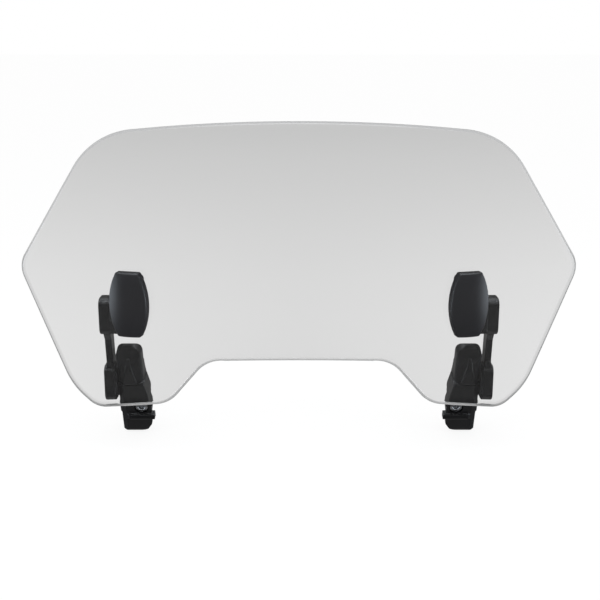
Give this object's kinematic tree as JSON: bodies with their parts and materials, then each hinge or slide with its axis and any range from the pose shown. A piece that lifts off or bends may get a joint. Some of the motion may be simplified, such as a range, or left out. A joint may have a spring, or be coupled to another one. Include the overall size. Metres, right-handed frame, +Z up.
{
  "type": "clamp-on windscreen spoiler",
  "caption": "Clear curved add-on screen for a motorcycle windscreen, with black covers, double-pivot arms and screw clamps that grip the host screen's top edge.",
  "frame": {"origin": "bottom centre of the bounding box: on the mirror plane, under the middle of the depth, level with the clamp tips", "axes": "+Z up, -Y the convex front of the screen, +X to the right seen from the front"},
  "size_m": [0.3508, 0.0652, 0.2094],
  "materials": {
    "clear_acrylic": "polished clear sheet",
    "black_plastic": "fine-grained satin black moulding",
    "black_rubber": "matt moulded rubber",
    "zinc_steel": "bright zinc-plated steel",
    "brass": "knurled brass",
    "nylon": "black nylon",
    "spring_steel": "dull spring steel"
  },
  "bodies": {
    "clamps": {"left_clamp": "black_plastic", "right_clamp": "black_plastic", "lower_pivot_bolts": "zinc_steel", "lower_pivot_washers": "spring_steel", "lower_pivot_nuts": "zinc_steel", "jaw_pins": "zinc_steel", "left_front_pad": "black_rubber", "right_front_pad": "black_rubber", "clamp_screw_washers": "zinc_steel"},
    "left_arm": {"left_arm": "black_plastic", "left_friction_rings": "nylon"},
    "right_arm": {"right_arm": "black_plastic", "right_friction_rings": "nylon"},
    "screen": {"screen": "clear_acrylic", "left_cover": "black_plastic", "right_cover": "black_plastic", "left_cover_gasket": "black_rubber", "right_cover_gasket": "black_rubber", "left_back_gasket": "black_rubber", "right_back_gasket": "black_rubber", "left_bracket": "black_plastic", "right_bracket": "black_plastic", "cover_screws": "zinc_steel", "cover_inserts": "brass", "upper_pivot_bolts": "zinc_steel", "upper_pivot_washers": "spring_steel", "upper_pivot_nuts": "zinc_steel"},
    "left_jaw": {"left_jaw": "black_plastic", "left_jaw_pad": "black_rubber", "left_jaw_nut": "zinc_steel"},
    "right_jaw": {"right_jaw": "black_plastic", "right_jaw_pad": "black_rubber", "right_jaw_nut": "zinc_steel"},
    "left_clamp_screw": {"left_clamp_screw": "zinc_steel"},
    "right_clamp_screw": {"right_clamp_screw": "zinc_steel"}
  },
  "joints": [
    {"name": "left_lower_pivot", "type": "hinge", "parent": "clamps", "child": "left_arm", "pos_m": [-0.122, 0.01171, 0.03909], "axis": [1, 0, 0], "range_deg": [-22, 24]},
    {"name": "right_lower_pivot", "type": "hinge", "parent": "clamps", "child": "right_arm", "pos_m": [0.122, 0.01171, 0.03909], "axis": [1, 0, 0], "range_deg": [-22, 24]},
    {"name": "left_upper_pivot", "type": "hinge", "parent": "left_arm", "child": "screen", "pos_m": [-0.122, 0.00431, 0.08581], "axis": [1, 0, 0], "range_deg": [-45, 9]},
    {"name": "left_screw_turn", "type": "hinge", "parent": "clamps", "child": "left_clamp_screw", "pos_m": [-0.1042, 0.0178, 0.02237], "axis": [0, 0.9397, 0.342], "range_deg": [-300, 880]},
    {"name": "left_jaw_hinge", "type": "hinge", "parent": "clamps", "child": "left_jaw", "pos_m": [-0.1095, 0.01518, 0.05472], "axis": [1, 0, 0], "range_deg": [-3.7, 1.3]},
    {"name": "right_screw_turn", "type": "hinge", "parent": "clamps", "child": "right_clamp_screw", "pos_m": [0.1042, 0.0178, 0.02237], "axis": [0, 0.9397, 0.342], "range_deg": [-300, 880]},
    {"name": "right_jaw_hinge", "type": "hinge", "parent": "clamps", "child": "right_jaw", "pos_m": [0.1095, 0.01518, 0.05472], "axis": [1, 0, 0], "range_deg": [-3.7, 1.3]}
  ],
  "couplings": [
    {"joint": "right_lower_pivot", "follows": "left_lower_pivot", "ratio": 1},
    {"joint": "left_jaw_hinge", "follows": "left_screw_turn", "ratio": -0.0040679},
    {"joint": "right_jaw_hinge", "follows": "right_screw_turn", "ratio": -0.0040679}
  ]
}
